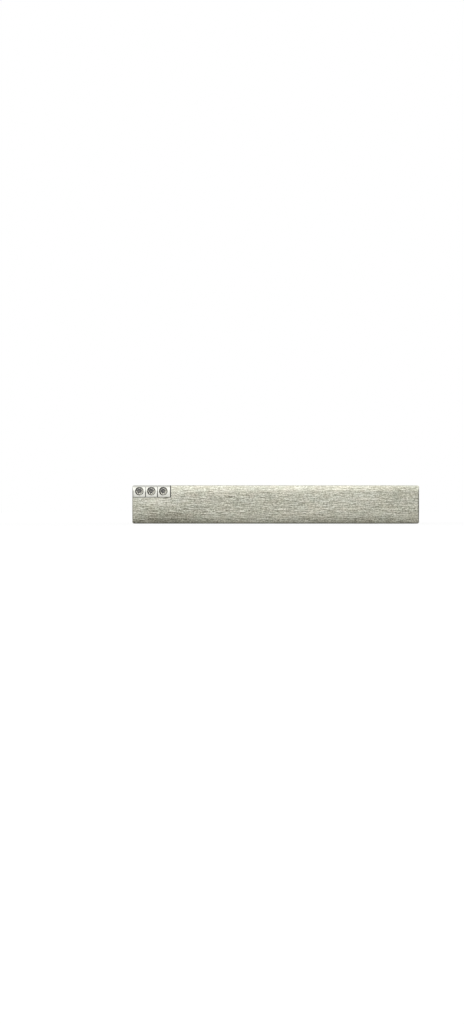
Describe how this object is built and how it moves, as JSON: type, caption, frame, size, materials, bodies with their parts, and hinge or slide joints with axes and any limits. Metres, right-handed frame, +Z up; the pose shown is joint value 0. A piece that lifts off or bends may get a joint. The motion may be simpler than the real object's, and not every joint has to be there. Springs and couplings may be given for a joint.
{
  "type": "tie clip",
  "caption": "Slim satin silver tie clip with round crystals in polished corner squares and a sprung pinch clasp with a toothed jaw behind.",
  "frame": {"origin": "centre of the bar's back face, where the cloth is gripped", "axes": "+X along the bar to its tail end, over the clasp's lever; +Y out of the bar's back, towards the wearer; +Z up as worn, so the front looks along -Y"},
  "size_m": [0.06, 0.0092, 0.008],
  "materials": {
    "satin_bar": "satin, brushed along the bar",
    "polished_setting": "polished",
    "crystal": "clear faceted crystal, foil backed",
    "plated_clasp": "plated, lightly tumbled",
    "plated_pin": "plated",
    "spring_wire": "bright drawn wire"
  },
  "bodies": {
    "bar": {"face_bar": "satin_bar", "setting_left": "polished_setting", "setting_middle": "polished_setting", "setting_right": "polished_setting", "crystal_left": "crystal", "crystal_middle": "crystal", "crystal_right": "crystal", "hinge_bracket": "plated_clasp", "hinge_pin": "plated_pin", "torsion_spring": "spring_wire"},
    "jaw": {"jaw_arm": "plated_clasp"}
  },
  "joints": [
    {"name": "jaw_pinch", "type": "hinge", "parent": "bar", "child": "jaw", "pos_m": [0.0185, 0.0027, 0], "axis": [0, 0, -1], "range_deg": [0, 34], "stiffness_Nm_per_rad": 0.022, "springref_deg": -89.95, "deforming": ["torsion_spring"]}
  ]
}
